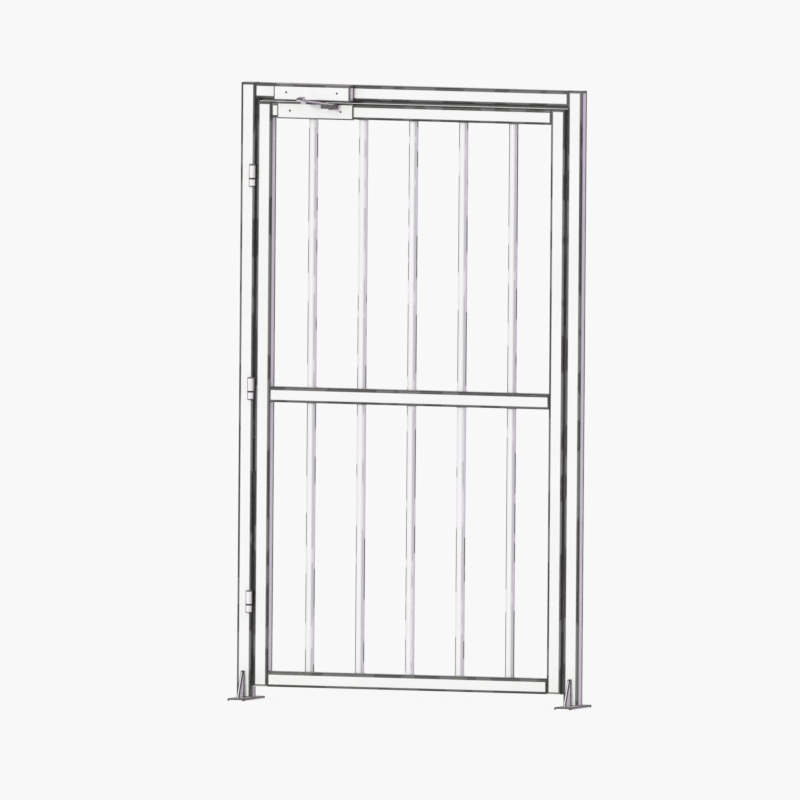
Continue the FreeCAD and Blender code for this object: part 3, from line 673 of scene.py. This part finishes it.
def turned(profile, centre, direction, columns=32, sides=None):
    """Point = centre + along x height + radius x (cos a x first + sin a x second), a from 0 to a full turn.
    Where sides is given for a profile row, its radius is a polygon's: flat / cos(a folded into one side)."""
    along, first, second = axes_about(direction)
    heights, radii = np.array(profile, float).T
    angle = np.linspace(0, 2 * math.pi, columns, endpoint=False)
    radius = np.repeat(radii[:, None], columns, axis=1)
    if sides is not None:
        part = 2 * math.pi / SOCKET_SIDES
        folded = (angle + part / 2) % part - part / 2
        radius = np.where(np.array(sides)[:, None], radius / np.cos(folded)[None, :], radius)
    ring = np.cos(angle)[:, None] * first + np.sin(angle)[:, None] * second
    return np.array(centre) + heights[:, None, None] * along + radius[..., None] * ring[None]


# %% [markdown]
# ## Screws
# The closer and its plate are held by socket screws that sit in their holes, and the posts by anchor screws sunk in
# the base plates. A cylinder primitive would miss the hexagonal socket, so each screw is turned from a profile whose
# last rows are a hexagon: the radius in a direction is the flat's distance over the cosine of the angle to the flat.

# %% Screws and anchors


def socket_screw(centre, direction, head, socket, depth, crown):
    """A head that rises from its shank to a crown, with a hexagonal socket: rows are (height, radius)."""
    rows = [(-depth, 0.94 * head), (-0.3 * crown, 0.94 * head), (0.1 * crown, head), (0.6 * crown, 0.96 * head),
            (crown, 0.8 * head), (crown, 1.2 * socket), (crown - 0.1 * socket, socket),
            (crown - 1.3 * socket, socket)]
    return turned(rows, centre, direction, columns=36, sides=[row > 4 for row in range(len(rows))])


def steel(name, colour, roughness, metallic):
    """Plain steel finish: fine brushed grain turns its roughness and colour a little from place to place."""
    material, tree = new_material(name)
    shader = tree.nodes["Principled BSDF"]
    coat = use_group(tree, powder_skin, {"Dimple scale": 900.0, "Drift scale": 60.0})
    tone = calculate(tree, "ADD", coat["Tone change"], 0.5, clamp=True)
    dark = tuple(0.7 * part for part in colour) + (1,)
    bright = tuple(min(1.25 * part, 1) for part in colour) + (1,)
    tree.links.new(mix_colours(tree, tone, dark, bright), shader.inputs["Base Color"])
    tree.links.new(calculate(tree, "ADD", calculate(tree, "MULTIPLY", coat["Gloss change"], 0.3), roughness),
                   shader.inputs["Roughness"])
    shader.inputs["Metallic"].default_value = metallic
    relief = add_node(tree, "ShaderNodeBump", {"Height": coat["Height"], "Distance": 0.00003, "Strength": 0.5})
    tree.links.new(relief.outputs["Normal"], shader.inputs["Normal"])
    return material


black_steel = steel("black_screw_steel", (0.045, 0.042, 0.045), 0.42, 0.6)
zinc_steel = steel("zinc_anchor_steel", (0.55, 0.56, 0.58), 0.38, 0.9)
closer_low, closer_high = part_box("closer_body")
plate_low, plate_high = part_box("arm_plate")
SCREW_INSET = 44 * MM
SCREW_HEAD = 3.4 * MM
SCREW_SOCKET = 1.6 * MM
SCREW_SHANK = 1.6 * MM
SCREW_CROWN = 0.9 * MM
SCREW_SUNK = 1.3 * MM
ANCHORS_ACROSS = 17 * MM
ANCHORS_ALONG = 70 * MM
ANCHOR_HEAD = 5.3 * MM
ANCHOR_SOCKET = 3.0 * MM
ANCHOR_SHANK = 6.5 * MM
ANCHOR_CROWN = 1.6 * MM
ANCHOR_SUNK = 1 * MM


def front_screws(low, high, sunk):
    """Two screws in the front face of a box, the same distance in from its ends, halfway up."""
    middle = (low.z + high.z) / 2
    return [(socket_screw((x, low.y + sunk, middle), (0, -1, 0), SCREW_HEAD, SCREW_SOCKET, SCREW_SHANK,
                          SCREW_CROWN), False)
            for x in (low.x + SCREW_INSET, high.x - SCREW_INSET)]


make_piece("closer_screws", front_screws(closer_low, closer_high, SCREW_SUNK), "gate_frame", black_steel)
make_piece("arm_plate_screws", front_screws(plate_low, plate_high, SCREW_SUNK), "leaf", black_steel)
anchors = []
for node in plates:
    low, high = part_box(node)
    middle = (low + high) / 2
    for x in (-ANCHORS_ACROSS, ANCHORS_ACROSS):
        for y in (-ANCHORS_ALONG, ANCHORS_ALONG):
            place = (middle.x + x, middle.y + y, high.z - ANCHOR_SUNK)
            anchors.append((socket_screw(place, (0, 0, 1), ANCHOR_HEAD, ANCHOR_SOCKET, ANCHOR_SHANK,
                                         ANCHOR_CROWN), False))
make_piece("anchor_screws", anchors, "gate_frame", zinc_steel)

# %% [markdown]
# ## Weld beads
# A weld bead is a row of frozen puddles, each overlapping the last. It could be a displaced tube, but the puddles
# have to follow the joint whatever its shape. So a round profile is carried along the joint's line, and its radius
# swells and sinks with the distance travelled. Half of each bead is buried in the corner that it fills.

# %% Beads


def bead(path, radius, closed=False, columns=8, pitch=4.5 * MM, outward=None):
    """Point = path + r(s) x (cos a x first + sin a x second); r(s) = radius x (1 + 0.11 cos(2 pi s / pitch)),
    s being the distance along the path. The profile shrinks to half at an open path's ends."""
    path = np.array(path, float)
    ahead = np.roll(path, -1, axis=0) - np.roll(path, 1, axis=0)
    if not closed:
        ahead[0], ahead[-1] = path[1] - path[0], path[-1] - path[-2]
    ahead /= np.linalg.norm(ahead, axis=1)[:, None]
    guide = np.array(outward, float) if outward is not None else path - path.mean(axis=0)
    guide = np.broadcast_to(guide, path.shape)
    first = guide - ahead * np.sum(guide * ahead, axis=1)[:, None]
    first /= np.linalg.norm(first, axis=1)[:, None]
    second = np.cross(ahead, first)
    steps = np.linalg.norm(np.diff(path, axis=0), axis=1)
    travelled = np.concatenate([[0.0], np.cumsum(steps)])
    swell = radius * (1 + 0.11 * np.cos(2 * math.pi * travelled / pitch))
    if not closed:
        to_end = np.minimum(travelled, travelled[-1] - travelled)
        swell *= 0.5 + 0.5 * np.clip(to_end / radius, 0, 1)
    angle = np.linspace(0, 2 * math.pi, columns, endpoint=False)
    ring = np.cos(angle)[None, :, None] * first[:, None] + np.sin(angle)[None, :, None] * second[:, None]
    return path[:, None] + swell[:, None, None] * ring, closed


def circle_path(centre, radius, count=56):
    """Points round a level circle."""
    angle = np.linspace(0, 2 * math.pi, count, endpoint=False)
    return np.array(centre) + radius * np.stack([np.cos(angle), np.sin(angle), np.zeros(count)], axis=1)


def line_path(start, end, step=1.4 * MM):
    """Points on a straight line, a step apart."""
    start, end = np.array(start, float), np.array(end, float)
    count = max(4, int(np.linalg.norm(end - start) / step))
    return start + np.linspace(0, 1, count)[:, None] * (end - start)


TUBE_CORNER = 5 * MM
TURN_POINTS = 7
WELD_START = 8 * MM
WELD_GRIME = 0.4
WELD_PEEL = 0.1 * MM
BAR_WELD = 2.6 * MM
FOOT_WELD = 2.5 * MM
BAR_WELD_OUT = 0.3 * MM
GUSSET_WELD = 1.8 * MM
GUSSET_WELD_START = 4 * MM
HEADER_WELD = 2.6 * MM
BARREL_WELD = 2.2 * MM
RAIL_WELD = 2.4 * MM
FLAG_WELD = 2.0 * MM

weld_paint, tree = new_material("weld_paint")
drift = use_group(tree, powder_skin, {"Drift scale": 30.0})["Tone change"]
grime = calculate(tree, "ADD", drift, WELD_GRIME, clamp=True)
finish_paint(weld_paint, tree, [grime], bump=WELD_PEEL)

rings = []
for node in bars:
    low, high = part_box(node)
    middle = (low + high) / 2
    radius = (high.x - low.x) / 2
    for z in (low.z, high.z):
        rings.append(bead(circle_path((middle.x, middle.y, z), radius + BAR_WELD_OUT), BAR_WELD, closed=True))
make_piece("bar_welds", rings, "leaf", weld_paint, smooth_angle=60)

feet = []
for side in ("hinge", "latch"):
    post_low, post_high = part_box(side + "_post")
    turns = []
    for sign_x, sign_y, start in ((1, -1, -90), (1, 1, 0), (-1, 1, 90), (-1, -1, 180)):
        angle = np.radians(np.linspace(start, start + 90, TURN_POINTS))
        half = (post_high.x - post_low.x) / 2 - TUBE_CORNER
        centre_x = (post_low.x + post_high.x) / 2 + sign_x * half
        turns.append(np.stack([centre_x + TUBE_CORNER * np.cos(angle), sign_y * half + TUBE_CORNER * np.sin(angle),
                               np.full(TURN_POINTS, post_low.z)], axis=1))
    loop = []
    for number, turn_points in enumerate(turns):
        following = turns[(number + 1) % 4]
        loop += [turn_points, line_path(turn_points[-1], following[0])[1:-1]]
    feet.append(bead(np.concatenate(loop), FOOT_WELD, closed=True))
    for end in ("front", "back"):
        low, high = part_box("%s_gusset_%s" % (side, end))
        sign = -1 if end == "front" else 1
        wall = high.y if sign < 0 else low.y
        tip = low.y if sign < 0 else high.y
        for x, out in ((low.x, -1), (high.x, 1)):
            feet.append(bead(line_path((x, wall, low.z + GUSSET_WELD_START), (x, wall, high.z)), GUSSET_WELD,
                             outward=(out, sign, 0)))
            feet.append(bead(line_path((x, wall + sign * GUSSET_WELD_START, low.z), (x, tip, low.z)), GUSSET_WELD,
                             outward=(out, 0, 1)))
make_piece("foot_welds", feet, "gate_frame", weld_paint, smooth_angle=60)

joints = []
header_low, header_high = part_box("header")
for x, out in ((header_low.x, 1), (header_high.x, -1)):
    under = line_path((x, header_low.y + WELD_START, header_low.z), (x, header_high.y - TUBE_CORNER, header_low.z))
    behind = line_path((x, header_high.y, header_low.z + TUBE_CORNER),
                       (x, header_high.y, header_high.z - TUBE_CORNER))
    joints.append(bead(under, HEADER_WELD, outward=(out, 0, -1)))
    joints.append(bead(behind, HEADER_WELD, outward=(out, 1, 0)))
for name in ("low", "middle", "top"):
    low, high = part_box("post_hinge_" + name)
    joints.append(bead(line_path((low.x, high.y, low.z), (low.x, high.y, low.z + POST_BARREL_HEIGHT)), BARREL_WELD,
                       outward=(-1, -1, 0)))
make_piece("frame_welds", joints, "gate_frame", weld_paint, smooth_angle=60)

joints = []
leaf_low_z, leaf_high_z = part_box("bottom_rail")[0].z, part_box("top_rail")[1].z
for node in ("bottom_rail", "middle_rail", "top_rail"):
    low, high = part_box(node)
    for x, out in ((low.x, 1), (high.x, -1)):
        joints.append(bead(line_path((x, high.y, low.z + TUBE_CORNER), (x, high.y, high.z - TUBE_CORNER)), RAIL_WELD,
                           outward=(out, 1, 0)))
        for z, way in ((low.z, -1), (high.z, 1)):
            if leaf_low_z < z < leaf_high_z:
                joints.append(bead(line_path((x, low.y + WELD_START, z), (x, high.y - TUBE_CORNER, z)), RAIL_WELD,
                                   outward=(out, 0, way)))
for name in ("low", "middle", "top"):
    low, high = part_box("leaf_hinge_" + name)
    joints.append(bead(line_path((high.x, high.y, low.z), (high.x, high.y, high.z)), FLAG_WELD, outward=(-1, 1, 0)))
make_piece("leaf_welds", joints, "leaf", weld_paint, smooth_angle=60)

# %% [markdown]
# ## Trim
# A grey rubber strip on the back of the header closes the gap above the leaf. Each upper hinge barrel is plugged
# against rain by a domed cap, and the closer has two valve screws on its left end, where a fitter sets its speed. The
# strip is one profile, a bulging half round with a flat back, carried along the header; a stretched cube would show
# sharp edges that rubber never has.

# %% Rubber
RUBBER_ROUGHNESS = 0.72
RUBBER_PEEL = 0.1 * MM
rubber, tree = new_material("grey_rubber")
shader = tree.nodes["Principled BSDF"]
coat = use_group(tree, powder_skin, {"Dimple scale": 700.0, "Drift scale": 9.0})
dirt = use_group(tree, settled_dust, {"Amount": 0.5})["Mask"]
tone = calculate(tree, "ADD", calculate(tree, "MULTIPLY", coat["Tone change"], 1.2), 0.5, clamp=True)
grey = mix_colours(tree, tone, (0.25, 0.235, 0.26, 1), (0.34, 0.32, 0.35, 1))
tree.links.new(mix_colours(tree, dirt, grey, DUST_COLOUR), shader.inputs["Base Color"])
tree.links.new(calculate(tree, "ADD", calculate(tree, "MULTIPLY", coat["Gloss change"], 0.3), RUBBER_ROUGHNESS),
               shader.inputs["Roughness"])
relief = add_node(tree, "ShaderNodeBump", {"Height": coat["Height"], "Distance": RUBBER_PEEL, "Strength": 0.6})
tree.links.new(relief.outputs["Normal"], shader.inputs["Normal"])
print("material", rubber.name)

# %% Strip, plugs and valve screws
STRIP_THICKNESS = 6 * MM
STRIP_DROP = 11 * MM
STRIP_LAP = 10 * MM
STRIP_CLEARANCE = 0.3 * MM
STRIP_ROUNDNESS = 0.4
PLUG_RADIUS = 9.2 * MM
PLUG_RISE = 2.6 * MM
PLUG_SEAT = 0.5 * MM
VALVE_HEIGHT = 18 * MM
VALVE_HEAD = 3.2 * MM
VALVE_SOCKET = 1.5 * MM
VALVE_SHANK = 1.0 * MM
VALVE_CROWN = 1.2 * MM
shape = np.linspace(-math.pi / 2, math.pi / 2, 9)
half = (STRIP_DROP + STRIP_LAP) / 2
bulge = np.stack([STRIP_THICKNESS * np.cos(shape) ** STRIP_ROUNDNESS, half * np.sin(shape)], axis=1)
middle_z = header_low.z + STRIP_LAP - half
ends = np.linspace(header_low.x - STRIP_LAP, header_high.x + STRIP_LAP, 30)
section_y = header_high.y + STRIP_CLEARANCE + np.concatenate([bulge[:, 0], [0.0, 0.0]])
section_z = middle_z + np.concatenate([bulge[:, 1], [half, -half]])
strip = np.stack(np.broadcast_arrays(ends[:, None], section_y[None], section_z[None]), axis=2)
make_piece("gap_strip", [(strip, False)], "gate_frame", rubber)

domes = []
for name in ("low", "middle", "top"):
    low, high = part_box("leaf_hinge_" + name)
    axis_x, axis_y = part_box("post_hinge_" + name)[0].x + BARREL / 2, low.y + BARREL / 2
    rise = np.radians(np.linspace(0, 84, 7))
    rows = [(-PLUG_SEAT, PLUG_RADIUS)] + list(zip(PLUG_RISE * np.sin(rise), PLUG_RADIUS * np.cos(rise)))
    domes.append((turned(rows, (axis_x, axis_y, high.z), (0, 0, 1)), False))
make_piece("hinge_plugs", domes, "leaf", rubber)

valves = []
for y in (0.3, 0.7):
    place = (closer_low.x, closer_low.y + y * (closer_high.y - closer_low.y), closer_low.z + VALVE_HEIGHT)
    valves.append((socket_screw(place, (-1, 0, 0), VALVE_HEAD, VALVE_SOCKET, VALVE_SHANK, VALVE_CROWN), False))
make_piece("closer_valves", valves, "gate_frame", zinc_steel)
